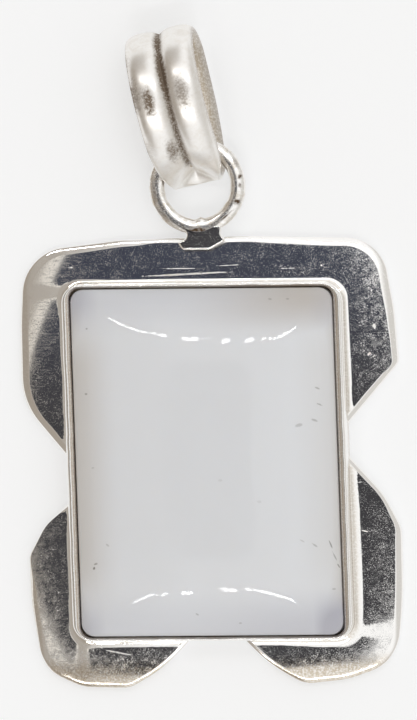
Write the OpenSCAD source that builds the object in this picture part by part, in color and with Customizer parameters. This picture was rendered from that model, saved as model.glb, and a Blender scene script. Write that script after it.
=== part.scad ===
// Silver pendant with a rectangular cabochon: a domed back plate with four corner lobes, a bezel
// cup, a loop ring soldered on its front, a milky stone and a double-rib bail through the ring.
// It lies on its back. The origin is the point of the flat back under the stone's centre,
// +Z is up through the front, +Y runs towards the bail and +X to the right, seen from the front.

/* [Back plate] */
// Reach of the right lobes from the stone's centre
plate_right = 12.96; // [12.7:0.02:13.1]
// Reach of the left lobes from the stone's centre
plate_left = 12.66; // [12.5:0.02:12.9]
// Reach of the top edge from the stone's centre
plate_top = 15.22; // [15:0.02:15.5]
// Reach of the lower lobes from the stone's centre
plate_bottom = 15.1; // [14.94:0.02:15.5]
// Height of the domed front at its middle
dome_top = 1.35; // [1.25:0.01:1.45]
// Radius of the sphere that the front follows
dome_radius = 220; // [200:5:320]
// Width of the rolled outer edge
edge_roll = 0.5; // [0.3:0.05:0.6]

/* [Notches] */
// Upper end of the right notch at the bezel
right_notch_high = 2.28; // [2:0.02:2.6]
// Lower end of the right notch at the bezel
right_notch_low = 0.24; // [0:0.01:0.6]
// Upper end of the left notch at the bezel
left_notch_high = 0.3; // [0.1:0.02:0.6]
// Lower end of the left notch at the bezel
left_notch_low = -2.4; // [-2.7:0.02:-2.1]
// Left end of the bottom notch at the bezel
low_notch_left = -1.56; // [-1.9:0.02:-1.3]
// Right end of the bottom notch at the bezel
low_notch_right = 2.15; // [1.9:0.01:2.4]

/* [Bezel] */
// Width of the bezel cup at its foot
bezel_w = 19.06; // [19.04:0.02:19.2]
// Height of the bezel cup at its foot, along the pendant
bezel_h = 24.2; // [24.18:0.02:24.4]
// Thickness of the bezel wall
bezel_wall = 0.30; // [0.27:0.01:0.31]
// Height of the lip above the table
lip_z = 3.05; // [2.95:0.01:3.15]
// Radius of the cup's outer corners
bezel_corner = 1.35; // [1.1:0.05:1.45]
// How far the hand-made cup and its stone lean from square, in mm for each mm
skew = 0.013; // [0:0.001:0.016]

/* [Stone] */
// Width of the stone at its girdle
stone_w = 18.16; // [18.04:0.02:18.2]
// Length of the stone at its girdle
stone_h = 23.5; // [23.4:0.02:23.54]
// Height of the stone from its flat base to its crown
stone_t = 3.7; // [3.6:0.05:4]
// Gap between the stone's base and the cup's floor
seat_gap = 0.1; // [0.05:0.01:0.15]

/* [Loop ring] */
// Place of the ring's centre across the pendant
ring_x = -0.31; // [-0.41:0.01:-0.21]
// Place of the ring's centre along the pendant
ring_y = 18.65; // [18.57:0.01:18.73]
// Inner radius of the ring
ring_inner = 2.24; // [2.22:0.01:2.3]
// Width of the flattened wire
ring_w = 1.03; // [0.9:0.01:1.1]
// Underside of the ring above the table
ring_low = 1.00; // [0.98:0.01:1.02]
// Thickness of the flattened wire
ring_t = 0.95; // [0.85:0.01:0.97]
// Bevel along the wire's edges
ring_bevel = 0.26; // [0.15:0.01:0.3]

/* [Bail] */
// Length of the bail
bail_len = 10.82; // [10.7:0.01:11]
// Depth of the bail, from its back to its front
bail_depth = 6.3; // [6.2:0.05:6.6]
// Width of the bail's band
bail_w = 4.68; // [4.5:0.02:4.72]
// Turn of the bail to the left of the pendant's own axis
bail_turn = 11.7; // [11:0.1:12.4]
// Sideways lean of the bail's front over its back
bail_lean = 4.1; // [3.5:0.1:4.5]
// Place of the bail's lower end across the pendant
bail_x = -0.21; // [-0.26:0.01:-0.16]
// Place of the bail's lower end along the pendant
bail_y = 18.73; // [18.71:0.01:18.77]

/* [Hidden] */

// Longest step along a rounded corner and along a straight edge, in mm
arc_step = 0.55;
edge_step = 1.6;
// Facets across the quarter circle of the stone's corners
corner_facets = 6;

bezel_ax = bezel_w / 2;
bezel_ay = bezel_h / 2;
cup_floor = dome_top - 0.2;

// Corners of the plate's outline, anticlockwise from the right notch: x, y, radius of the corner
plate_corners = [
    [bezel_ax - skew * right_notch_high, right_notch_high, 0],
    [plate_right + 0.07, 6.42, 0.8],
    [plate_right - 0.19, 10.07, 12],
    [plate_right - 1, plate_top - 0.36, 2.9],
    [3, plate_top, 30],
    [-5.56, plate_top - 0.08, 12],
    [0.4 - plate_left, plate_top - 0.8, 3.2],
    [-plate_left, 9.4, 20],
    [-plate_left, 4.22, 5],
    [-bezel_ax - skew * left_notch_high, left_notch_high, 0],
    [-bezel_ax - skew * left_notch_low, left_notch_low, 0],
    [1.35 - plate_left, -4.08, 3],
    [0.28 - plate_left, -6.08, 1.2],
    [0.38 - plate_left, -9.33, 12],
    [1.04 - plate_left, 1.3 - plate_bottom, 2.8],
    [-8.9, 0.02 - plate_bottom, 3],
    [-5.75, -plate_bottom - 0.1, 1.5],
    [-3.47, 1.1 - plate_bottom, 10.5],
    [low_notch_left, -bezel_ay - skew * low_notch_left, 0],
    [low_notch_right, -bezel_ay - skew * low_notch_right, 0],
    [3.8, 1.2 - plate_bottom, 12],
    [6.18, -plate_bottom - 0.07, 2],
    [9.04, 0.18 - plate_bottom, 6],
    [plate_right - 0.56, 1.28 - plate_bottom, 3.1],
    [plate_right - 0.01, -9.63, 30],
    [plate_right + 0.01, -4.73, 2.2],
    [plate_right - 1.12, -2.42, 6],
    [bezel_ax - skew * right_notch_low, right_notch_low, 0],
];

// Rings of the plate's side and rolled edge: share of the edge's height, share of edge_roll
plate_rings = [
    [0.14, 0],
    [0.48, 0],
    [0.76, 0.2],
    [0.93, 0.55],
    [1, 1],
];
// Bevel along the edge of the flat back, as a share of edge_roll
back_bevel = 0.24;
// Rise of each ring over the dome where the plate meets the cup's wall
foot_rise = 0.02;

// Rings of the cup's wall, from the outside over the lip down to the floor: height, inset in x,
// inset in y. The lip leans over the stone at its long sides.
cup_rings = [
    [lip_z - 0.28, 0.05, 0.05],
    [lip_z - 0.05, 0.15, 0.10],
    [lip_z, 0.26, 0.14],
    [lip_z - 0.02, 0.42, 0.21],
    [lip_z - 0.2, 0.60, 0.26],
    [lip_z - 0.32, 0.60, bezel_wall],
    [lip_z - 0.75, bezel_wall, bezel_wall],
    [cup_floor, bezel_wall, bezel_wall],
];

// Rings of the stone from its base to its crown: share of its height, inset in x, inset in y, corner
stone_rings = [
    [0, 0.40, 0.36, 0.8],
    [0.05, 0.16, 0.14, 0.9],
    [0.16, 0, 0, 1.05],
    [0.27, 0.06, 0.01, 1.05],
    [0.35, 0.18, 0.02, 1.0],
    [0.42, 0.22, 0.03, 0.9],
    [0.486, 0.29, 0.07, 0.9],
    [0.55, 0.63, 0.40, 1.2],
    [0.62, 1.05, 0.80, 1.6],
    [0.70, 1.56, 1.32, 2.0],
    [0.83, 2.82, 2.64, 2.8],
    [0.915, 4.25, 4.39, 3.4],
    [0.968, 5.90, 6.79, 2.8],
    [0.992, 7.70, 9.58, 1.2],
];

// Corners of the ring's foot, anticlockwise: x from the ring's centre, y, radius of the corner
foot_corners = [
    [-1.10, 14.35, 0.3],
    [0.75, 14.33, 0.6],
    [1.86, 14.92, 0.15],
    [1.55, 15.35, 0.3],
    [1.62, 15.95, 0],
    [-1.45, 16.10, 0],
    [-0.76, 15.45, 0.3],
    [-0.90, 15.08, 0.2],
    [-1.42, 14.86, 0.12],
];
foot_low = 0.5;
foot_high = 1.9;

// Sections round the bail, from its back over the lower end, up the front and over the top.
// Columns: crest along the bail and up, inner face along and up, half width, how far the ends'
// square shape takes over from the ribs, and depth of the V cut in the front's end.
// Lengths along the bail are shares of bail_len, heights of bail_depth, widths of bail_w / 2.
bail_rows = [
    [0.148, 0.000, 0.148, 0.135, 0.920, 0.0, 0],
    [0.055, 0.000, 0.111, 0.135, 0.850, 0.6, 0],
    [0.010, 0.035, 0.096, 0.137, 0.790, 1.0, 0],
    [0.005, 0.125, 0.090, 0.146, 0.765, 1.0, 0],
    [0.000, 0.150, 0.088, 0.163, 0.750, 1.0, 0.078],
    [0.004, 0.280, 0.089, 0.256, 0.765, 1.0, 0.078],
    [0.028, 0.405, 0.103, 0.352, 0.835, 0.6, 0.068],
    [0.092, 0.556, 0.162, 0.470, 0.940, 0.0, 0.025],
    [0.222, 0.770, 0.273, 0.635, 1.000, 0.0, 0],
    [0.397, 0.937, 0.425, 0.781, 1.000, 0.0, 0],
    [0.619, 1.000, 0.619, 0.841, 1.000, 0.0, 0],
    [0.804, 0.930, 0.767, 0.783, 1.000, 0.0, 0],
    [0.934, 0.754, 0.860, 0.660, 1.000, 0.0, 0],
    [1.000, 0.492, 0.906, 0.476, 1.000, 0.0, 0],
    [0.966, 0.214, 0.883, 0.286, 1.000, 0.0, 0],
    [0.860, 0.040, 0.818, 0.178, 1.000, 0.0, 0],
    [0.702, 0.000, 0.702, 0.138, 1.000, 0.0, 0],
    [0.425, 0.000, 0.425, 0.135, 1.000, 0.0, 0],
];
CREST = [0, 1];
INNER = [2, 3];
HALF_W = 4;
SQUARE = 5;
CUT = 6;
// Steps from one row of bail_rows to the next
row_steps = 2;
// Places across the band, as shares of its half width, with the rib crests at 0.5
rib_places = [-1, -0.93, -0.76, -0.5, -0.24, -0.08, 0, 0.08, 0.24, 0.5, 0.76, 0.93, 1];
inner_places = [0.9, 0.45, 0, -0.45, -0.9];
// Share of the band's thickness left at its edges and in the groove between the ribs
edge_share = 0.46;
// Where the V cut's legs end, as a share of the half width
tip_place = 0.86;
// How far the closed end's inner face bulges into the opening, as a share of bail_len
end_bulge = 0.028;

function unit(v) = v / norm(v);
function turned(v, a) = [v[0] * cos(a) - v[1] * sin(a), v[0] * sin(a) + v[1] * cos(a)];

// Points of one rounded corner of an outline, between its neighbours
function corner_arc(before, c, after, r) =
    let (
        u = unit([before[0] - c[0], before[1] - c[1]]),
        w = unit([after[0] - c[0], after[1] - c[1]]),
        inside = acos(u * w),
        centre = [c[0], c[1]] + unit(u + w) * r / sin(inside / 2),
        sweep = (180 - inside) * sign(u[0] * w[1] - u[1] * w[0]) * -1,
        start = [c[0], c[1]] + u * r / tan(inside / 2) - centre,
        n = max(2, ceil(abs(sweep) * PI / 180 * r / arc_step))
    )
    [for (i = [0 : n]) centre + turned(start, sweep * i / n)];

function rounded_outline(corners) =
    let (n = len(corners))
    [for (i = [0 : n - 1])
        each corners[i][2] == 0
            ? [[corners[i][0], corners[i][1]]]
            : corner_arc(corners[(i + n - 1) % n], corners[i], corners[(i + 1) % n], corners[i][2])];

// The same outline with its long straight stretches divided
function divided(outline) =
    let (n = len(outline))
    [for (i = [0 : n - 1])
        let (
            next = outline[(i + 1) % n],
            parts = ceil(norm(next - outline[i]) / edge_step)
        )
        for (k = [0 : parts - 1]) outline[i] + (next - outline[i]) * k / parts];

// A point of the cup or the stone, moved from the square shape to the skewed one
function skewed(x, y, z) = [x - skew * y, y - skew * x, z];

// Distance from the centre to a skewed rounded rectangle, in the direction of point p
function rectangle_reach(p, ax, ay, r) =
    let (
        square = [p[0] + skew * p[1], p[1] + skew * p[0]] / (1 - skew * skew),
        way = [abs(square[0]), abs(square[1])] / norm(p),
        side = ax / max(way[0], 0.001),
        end = ay / max(way[1], 0.001),
        corner = [ax - r, ay - r],
        along = way * corner,
        across = way * way
    )
    side * way[1] <= corner[1] ? side
    : end * way[0] <= corner[0] ? end
    : (along + sqrt(along * along - across * (corner * corner - r * r))) / across;

// One level of a skewed rounded rectangle with half sizes ax and ay
function rectangle_ring(ax, ay, r, z) =
    [for (k = [0 : 3], i = [0 : corner_facets])
        let (
            sx = (k == 0 || k == 3) ? 1 : -1,
            sy = k < 2 ? 1 : -1,
            a = 90 * (k + i / corner_facets)
        )
        skewed(sx * (ax - r) + r * cos(a), sy * (ay - r) + r * sin(a), z)];

// Two triangles for each cell between rows of equal length, each row closed on itself
function skin(rows, n, closed) =
    [for (j = [0 : rows - (closed ? 1 : 2)], i = [0 : n - 1])
        let (
            a = j * n + i,
            b = j * n + (i + 1) % n,
            up = (j + 1) % rows * n,
            c = up + (i + 1) % n,
            d = up + i
        )
        each [[a, c, b], [a, d, c]]];

// A solid through rings of equal length from the bottom up, flat at both ends
module ring_stack(rings) {
    n = len(rings[0]);
    last = (len(rings) - 1) * n;
    middle = last + n;
    polyhedron(
        points = concat(
            [for (ring = rings) each ring],
            [[0, 0, rings[0][0][2]], [0, 0, rings[len(rings) - 1][0][2]]]
        ),
        faces = concat(
            [for (i = [0 : n - 1]) [middle, i, (i + 1) % n]],
            skin(len(rings), n, false),
            [for (i = [0 : n - 1]) [middle + 1, last + (i + 1) % n, last + i]]
        ),
        convexity = 6
    );
}

// A solid through rings that follow one another and close on themselves
module ring_loop(rings) {
    n = len(rings[0]);
    polyhedron(
        points = [for (ring = rings) each ring],
        faces = skin(len(rings), n, true),
        convexity = 6
    );
}

// How far a ray from the centre moves while it crosses 1 mm of the edge at point i
function ray_share(outline, i) =
    let (
        n = len(outline),
        along = outline[(i + 1) % n] - outline[(i + n - 1) % n],
        out = unit([along[1], -along[0]])
    )
    1 / max(0.4, out * unit(outline[i]));

// The domed plate with the cup's wall on it, as rings whose points lie on the same rays
module plate_with_cup() {
    outline = divided(rounded_outline(plate_corners));
    last = len(outline) - 1;
    function on_ray(i, reach, z) = concat(outline[i] * reach / norm(outline[i]), [z]);
    function wall_reach(i, in_x = 0, in_y = 0) = rectangle_reach(
        outline[i], bezel_ax - in_x, bezel_ay - in_y, bezel_corner - in_x);
    function edge_reach(i, inset) = norm(outline[i]) - inset * ray_share(outline, i);
    function plate_reach(i, inset) = max(wall_reach(i), edge_reach(i, inset));
    function domed(i, reach) = dome_top - reach * reach / (2 * dome_radius);
    back = [for (i = [0 : last]) on_ray(i, edge_reach(i, back_bevel * edge_roll), 0)];
    edge = [for (ring = plate_rings)
        [for (i = [0 : last])
            on_ray(i, plate_reach(i, ring[1] * edge_roll), ring[0] * domed(i, plate_reach(i, edge_roll)))]];
    middle = [for (i = [0 : last])
        let (reach = (plate_reach(i, edge_roll) + wall_reach(i)) / 2)
        on_ray(i, reach, domed(i, reach) + foot_rise)];
    foot = [for (i = [0 : last])
        on_ray(i, wall_reach(i), domed(i, wall_reach(i)) + 2 * foot_rise)];
    wall = [for (ring = cup_rings)
        [for (i = [0 : last]) on_ray(i, wall_reach(i, ring[1], ring[2]), ring[0])]];
    ring_stack(concat([back], edge, [middle], [foot], wall));
}

module loop_ring() {
    r1 = ring_inner;
    r2 = ring_inner + ring_w;
    translate([ring_x, ring_y, ring_low])
        rotate_extrude($fn = 72)
            polygon([
                [r1, ring_bevel],
                [r1 + ring_bevel, 0],
                [r2 - ring_bevel, 0],
                [r2, ring_bevel],
                [r2, ring_t - ring_bevel],
                [r2 - ring_bevel, ring_t],
                [r1 + ring_bevel, ring_t],
                [r1, ring_t - ring_bevel],
            ]);
}

module ring_foot() {
    translate([ring_x, 0, foot_low])
        linear_extrude(foot_high - foot_low)
            polygon(rounded_outline(foot_corners));
}

module setting() {
    color("silver")
        union() {
            plate_with_cup();
            loop_ring();
            ring_foot();
        }
}

module stone() {
    base_z = cup_floor + seat_gap;
    color("lightgray")
        ring_stack([for (ring = stone_rings)
            rectangle_ring(
                stone_w / 2 - ring[1],
                stone_h / 2 - ring[2],
                ring[3],
                base_z + ring[0] * stone_t
            )]);
}

// A smooth value between rows b and c of a table, at share t of the way
function between(a, b, c, d, t) =
    b + (c - a) * t / 2
    + (2 * a - 5 * b + 4 * c - d) * t * t / 2
    + (3 * b - a - 3 * c + d) * t * t * t / 2;

function bail_row(step) =
    let (
        n = len(bail_rows),
        i = floor(step / row_steps)
    )
    between(
        bail_rows[(i + n - 1) % n],
        bail_rows[i % n],
        bail_rows[(i + 1) % n],
        bail_rows[(i + 2) % n],
        step / row_steps - i
    );

// Height of the two half-round ribs at place u across the band, from 0 to 1
function rib(u) = sqrt(max(0, 1 - pow((abs(u) - 0.5) / 0.5, 2)));

function end_shape(u) = abs(u) < tip_place ? 1 : 1 - 0.4 * (abs(u) - tip_place) / (1 - tip_place);

// A point of the band's outer side, along and up, at place u across
function outer_point(row, u) =
    let (
        crest = [row[CREST[0]], row[CREST[1]]],
        inner = [row[INNER[0]], row[INNER[1]]],
        ribbed = edge_share + (1 - edge_share) * rib(u),
        square = min(1, max(0, row[SQUARE])),
        share = ribbed + (end_shape(u) - ribbed) * square,
        cut = max(0, row[CUT]) * max(0, 1 - abs(u) / tip_place)
    )
    inner + (crest - inner) * share + [cut, 0];

function inner_point(row, u) =
    [row[INNER[0]] + end_bulge * min(1, max(0, row[SQUARE])) * (1 - u * u), row[INNER[1]]];

// From along, up and across the bail to the pendant's own frame
function bail_place(p, across) =
    let (
        up = max(0, p[1]) * bail_depth,
        side = across - up * tan(bail_lean),
        flat = turned([side, p[0] * bail_len], bail_turn)
    )
    [bail_x + flat[0], bail_y + flat[1], up];

module bail() {
    rings = [for (step = [0 : len(bail_rows) * row_steps - 1])
        let (
            row = bail_row(step),
            half = row[HALF_W] * bail_w / 2
        )
        concat(
            [for (u = rib_places) bail_place(outer_point(row, u), u * half)],
            [for (u = inner_places) bail_place(inner_point(row, u), u * half)]
        )];
    color("gainsboro")
        ring_loop(rings);
}

setting();
stone();
bail();
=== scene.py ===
"""A silver pendant with a rectangular milky cabochon, lying on its back on a pale table.

Tables are in millimetres in the pendant's own frame: the origin is the point of the flat back under
the stone's centre, +Z is up through the front, +Y runs to the bail and +X to the right.
"""

import math

import bpy
from bpy.props import FloatProperty, FloatVectorProperty, PointerProperty
from bpy.types import Operator, Panel, PropertyGroup
from mathutils import Matrix, Vector, noise


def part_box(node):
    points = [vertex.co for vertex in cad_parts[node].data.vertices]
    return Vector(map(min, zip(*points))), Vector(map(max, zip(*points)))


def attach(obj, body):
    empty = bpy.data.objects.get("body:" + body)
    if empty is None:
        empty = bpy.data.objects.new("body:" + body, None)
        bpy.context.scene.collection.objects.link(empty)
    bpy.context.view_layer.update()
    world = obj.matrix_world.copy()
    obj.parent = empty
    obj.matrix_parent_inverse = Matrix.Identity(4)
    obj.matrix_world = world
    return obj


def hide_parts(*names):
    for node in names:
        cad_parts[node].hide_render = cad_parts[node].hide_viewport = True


bl_info = {
    "name": "Stone Pendant",
    "version": (1, 0, 0),
    "blender": (4, 5, 0),
    "location": "View3D > Sidebar > Pendant",
    "description": "Builds a silver pendant with a rectangular cabochon, its bail and its studio",
    "category": "Add Mesh",
}

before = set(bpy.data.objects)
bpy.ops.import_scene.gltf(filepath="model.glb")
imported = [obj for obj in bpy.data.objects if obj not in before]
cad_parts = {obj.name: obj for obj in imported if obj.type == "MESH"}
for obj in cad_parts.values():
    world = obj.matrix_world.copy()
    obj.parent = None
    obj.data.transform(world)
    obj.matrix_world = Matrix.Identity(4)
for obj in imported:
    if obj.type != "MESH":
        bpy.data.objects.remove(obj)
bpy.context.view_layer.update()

MM = 0.001
STONE_LOW, STONE_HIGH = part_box("stone")
# How far the hand-made cup and its stone lean from square, in mm for each mm
SKEW = 0.013


def length(name, description, millimetres):
    """A size that a user can change, stored in metres."""
    return FloatProperty(
        name=name, description=description, default=millimetres * MM, unit="LENGTH", precision=5)


def colour(name, description, value):
    """A colour that a user can change."""
    return FloatVectorProperty(
        name=name, description=description, default=value, subtype="COLOR", size=3, min=0, max=1)


def share(name, description, value):
    """A strength between nothing and full."""
    return FloatProperty(
        name=name, description=description, default=value, subtype="FACTOR", min=0, max=1)


class PlateSizes(PropertyGroup):
    """Sizes of the domed back plate."""

    right: length("Right reach", "Reach of the right lobes from the stone's centre", 12.96)
    left: length("Left reach", "Reach of the left lobes from the stone's centre", 12.66)
    top: length("Top reach", "Reach of the top edge from the stone's centre", 15.22)
    bottom: length("Bottom reach", "Reach of the lower lobes from the stone's centre", 15.08)
    dome: length("Dome height", "Height of the domed front at its middle", 1.35)
    radius: length("Dome radius", "Radius of the sphere that the front follows", 220)
    edge: length("Edge depth", "How far the rolled edge drops below the dome", 0.62)


class CupSizes(PropertyGroup):
    """Sizes of the bezel cup."""

    width: length("Width", "Width of the cup at its foot", 19.06)
    height: length("Height", "Length of the cup along the pendant", 24.2)
    wall: length("Wall", "Thickness of the cup's wall", 0.3)
    lip: length("Lip height", "Height of the lip above the table", 3.05)
    corner: length("Corner", "Radius of the cup's outer corners", 1.35)


class StoneSizes(PropertyGroup):
    """Sizes and colours of the cabochon."""

    width: length("Width", "Width of the stone at its girdle", 18.15)
    height: length("Height", "Length of the stone along the pendant", 23.48)
    thickness: FloatProperty(
        name="Thickness", description="Height of the stone from its base to its crown",
        default=STONE_HIGH.z - STONE_LOW.z, unit="LENGTH", precision=5)
    milky: colour("Milky body", "Colour of the stone's middle", (0.826, 0.846, 0.878))
    lavender: colour("Corner tint", "Cool tint of the corners", (0.52, 0.525, 0.585))
    # Painted shade of the translucent stone along its sides
    side_shade: colour("Side tint", "Warm tint along the sides", (0.60, 0.555, 0.50))


class RingSizes(PropertyGroup):
    """Sizes of the loop ring and its foot."""

    across: length("Place across", "Place of the ring's centre across the pendant", -0.31)
    along: length("Place along", "Place of the ring's centre along the pendant", 18.65)
    inner: length("Inner radius", "Inner radius of the ring", 2.24)
    wire: length("Wire width", "Width of the flattened wire", 1.03)
    low: length("Underside", "Underside of the ring above the table", 1.0)
    thick: length("Wire thickness", "Thickness of the flattened wire", 0.95)
    foot_top: length("Foot top", "Height of the foot's flat top above the table", 1.944)


class BailSizes(PropertyGroup):
    """Sizes of the bail and how it lies."""

    length: length("Length", "Length of the bail", 10.77)
    depth: length("Depth", "Depth of the bail from back to front", 6.3)
    width: length("Width", "Width of the bail's band", 4.68)
    turn: FloatProperty(
        name="Turn", description="Turn of the bail to the left of the pendant's own axis",
        default=math.radians(11.7), unit="ROTATION")
    lean: FloatProperty(
        name="Lean", description="Sideways lean of the bail's front over its back",
        default=math.radians(4.1), unit="ROTATION")
    across: length("Place across", "Place of the bail's lower end across the pendant", -0.21)
    along: length("Place along", "Place of the bail's lower end along the pendant", 18.73)


class SilverLook(PropertyGroup):
    """Colours and wear of the silver."""

    clean: colour("Clean silver", "Colour of the bright metal", (0.95, 0.935, 0.91))
    tarnish: colour("Tarnish", "Colour of the tarnish in the recesses", (0.10, 0.065, 0.04))
    patina: colour("Patina", "Colour of the thin yellow-brown patina", (0.62, 0.54, 0.43))
    flecks: share("Flecks", "How many small bright wear marks the flats have", 0.5)


class StageLook(PropertyGroup):
    """The table, the tent of light and the camera."""

    table: colour("Table", "Colour of the pale table", (0.60, 0.605, 0.61))
    glow: colour("Table glow", "Light of the backlit table", (0.44, 0.445, 0.45))
    sky: colour("Tent", "Light of the white tent round the pendant", (1.0, 1.0, 1.0))
    dark: colour("Dark zone", "Light of the dark opening overhead", (0.052, 0.051, 0.056))
    dusk: colour("Blue dark zone", "Light of the opening towards the bail", (0.052, 0.058, 0.082))
    right: colour("Right side", "Light of the tent's right side", (0.68, 0.665, 0.64))
    left: colour("Left side", "Light of the tent's left side", (0.38, 0.34, 0.295))
    rim: colour("Opening's rim", "Light just left of the opening", (0.76, 0.72, 0.66))
    beside: colour("Beside the rim", "Light further left of the opening", (0.42, 0.385, 0.345))
    distance: length("Camera distance", "Distance of the camera from the pendant", 800)
    tilt: FloatProperty(
        name="Camera tilt", description="Tilt of the camera to the right of straight down",
        default=math.radians(4.5), unit="ROTATION")
    roll: FloatProperty(
        name="Camera roll", description="Turn of the pendant in the picture, anticlockwise",
        default=math.radians(1.3), unit="ROTATION")


SETTINGS = {
    "pendant_plate": PlateSizes,
    "pendant_cup": CupSizes,
    "pendant_stone": StoneSizes,
    "pendant_ring": RingSizes,
    "pendant_bail": BailSizes,
    "pendant_silver": SilverLook,
    "pendant_stage": StageLook,
}


# Outlines

def rounded_outline(corners, step):
    """Points of an anticlockwise outline whose corners (x, y, radius) are rounded."""
    points = []
    for i, (x, y, radius) in enumerate(corners):
        corner = Vector((x, y))
        if radius == 0:
            points.append(corner)
            continue
        before = (Vector(corners[i - 1][:2]) - corner).normalized()
        after = (Vector(corners[(i + 1) % len(corners)][:2]) - corner).normalized()
        inside = before.angle(after)
        centre = corner + (before + after).normalized() * radius / math.sin(inside / 2)
        start = corner + before * radius / math.tan(inside / 2) - centre
        bend = math.pi - inside
        if before.cross(after) > 0:
            bend = -bend
        parts = max(2, math.ceil(abs(bend) * radius / step))
        points.extend(
            centre + Matrix.Rotation(bend * k / parts, 2) @ start for k in range(parts + 1))
    return points


def divided(outline, step):
    """The same outline with its long straight stretches divided."""
    points = []
    for here, there in zip(outline, outline[1:] + outline[:1]):
        parts = max(1, math.ceil((there - here).length / step))
        points.extend(here.lerp(there, k / parts) for k in range(parts))
    return points


def outward(outline, i):
    """The direction out of an anticlockwise outline at its point i."""
    along = outline[(i + 1) % len(outline)] - outline[i - 1]
    return Vector((along.y, -along.x)).normalized()


def unskewed(way):
    """The direction in a square cup that is the direction way in the skewed one."""
    return Vector((way.x + SKEW * way.y, way.y + SKEW * way.x)) / (1 - SKEW ** 2)


def rectangle_reach(way, half_x, half_y, radius):
    """Distance from the centre to the skewed rounded rectangle in the direction way."""
    square = unskewed(way)
    across, along = max(abs(square.x), 1e-6), max(abs(square.y), 1e-6)
    side, end = half_x / across, half_y / along
    corner = Vector((half_x - radius, half_y - radius))
    if side * along <= corner.y:
        return side
    if end * across <= corner.x:
        return end
    shadow = across * corner.x + along * corner.y
    size = across ** 2 + along ** 2
    return (shadow + math.sqrt(
        shadow ** 2 - size * (corner.length_squared - radius ** 2))) / size


def halves(sizes):
    """Half the width and half the height of the cup or the stone."""
    return sizes.width / MM / 2, sizes.height / MM / 2


def rectangle_ways(half_x, half_y, corner, bend_step, step):
    """Directions from the centre to points all round an unskewed rounded rectangle."""
    corners = (
        (half_x, -half_y, corner), (half_x, half_y, corner),
        (-half_x, half_y, corner), (-half_x, -half_y, corner))
    return [point.normalized() for point in divided(rounded_outline(corners, bend_step), step)]


def oval_reach(way, half_x, half_y, power):
    """Distance from the centre to the skewed superellipse in the direction way."""
    square = unskewed(way)
    return (abs(square.x / half_x) ** power + abs(square.y / half_y) ** power) ** (-1 / power)


def smooth(low, high, value):
    """A smooth step from 0 at low to 1 at high."""
    t = min(1, max(0, (value - low) / (high - low)))
    return t * t * (3 - 2 * t)


def uneven(way, waves, seed, depth):
    """A small push in or out towards a direction, the same on each run."""
    return noise.noise(Vector((way.x * waves, way.y * waves, seed))) * depth


def between(a, b, c, d, t):
    """A smooth value between b and c, at share t of the way, that also heeds a and d."""
    return (b + (c - a) * t / 2 + (2 * a - 5 * b + 4 * c - d) * t * t / 2
            + (3 * b - a - 3 * c + d) * t ** 3 / 2)


def table_row(table, step, closed):
    """The table's row at a fractional step, smooth between its rows."""
    i = math.floor(step)

    def row(k):
        return table[k % len(table)] if closed else table[min(max(k, 0), len(table) - 1)]

    return [between(*cells, step - i) for cells in zip(row(i - 1), row(i), row(i + 1), row(i + 2))]


# Objects

def add_object(name, data):
    """A new object in the scene."""
    added = bpy.data.objects.new(name, data)
    bpy.context.scene.collection.objects.link(added)
    return added


def skinned(name, rows, closed=False, marks=None, sharp=40):
    """A closed mesh through rows of points in millimetres, each row a ring of equal length.

    The first and last rows are capped, unless the rows close on themselves. marks holds named
    values from 0 to 1 for every point, which the materials read. sharp is the angle in degrees
    above which an edge is shaded as an edge.
    """
    count = len(rows[0])
    points = [Vector(point) * MM for row in rows for point in row]
    faces = []
    for j in range(len(rows) if closed else len(rows) - 1):
        up = (j + 1) % len(rows) * count
        for i in range(count):
            k = (i + 1) % count
            faces.append((j * count + i, j * count + k, up + k, up + i))
    values = {key: list(value) for key, value in (marks or {}).items()}
    if not closed:
        for first, row in ((0, rows[0]), ((len(rows) - 1) * count, rows[-1])):
            middle = sum((Vector(point) for point in row), Vector((0, 0, 0))) / count
            points.append(middle * MM)
            for value in values.values():
                value.append(value[first])
            for i in range(count):
                edge = (first + i, first + (i + 1) % count)
                faces.append((len(points) - 1, *(edge if first else reversed(edge))))
    mesh = bpy.data.meshes.new(name)
    mesh.from_pydata(points, [], faces)
    for key, value in values.items():
        mesh.attributes.new(key, "FLOAT", "POINT").data.foreach_set("value", value)
    mesh.shade_smooth()
    mesh.set_sharp_from_angle(angle=math.radians(sharp))
    mesh.update()
    return add_object(name, mesh)


def place(piece, node, slot, material):
    """Gives a piece its material and lets it stand for a node of the frame."""
    piece.data.materials.append(material)
    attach(piece, "root")
    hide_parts(node)


# Materials

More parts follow.
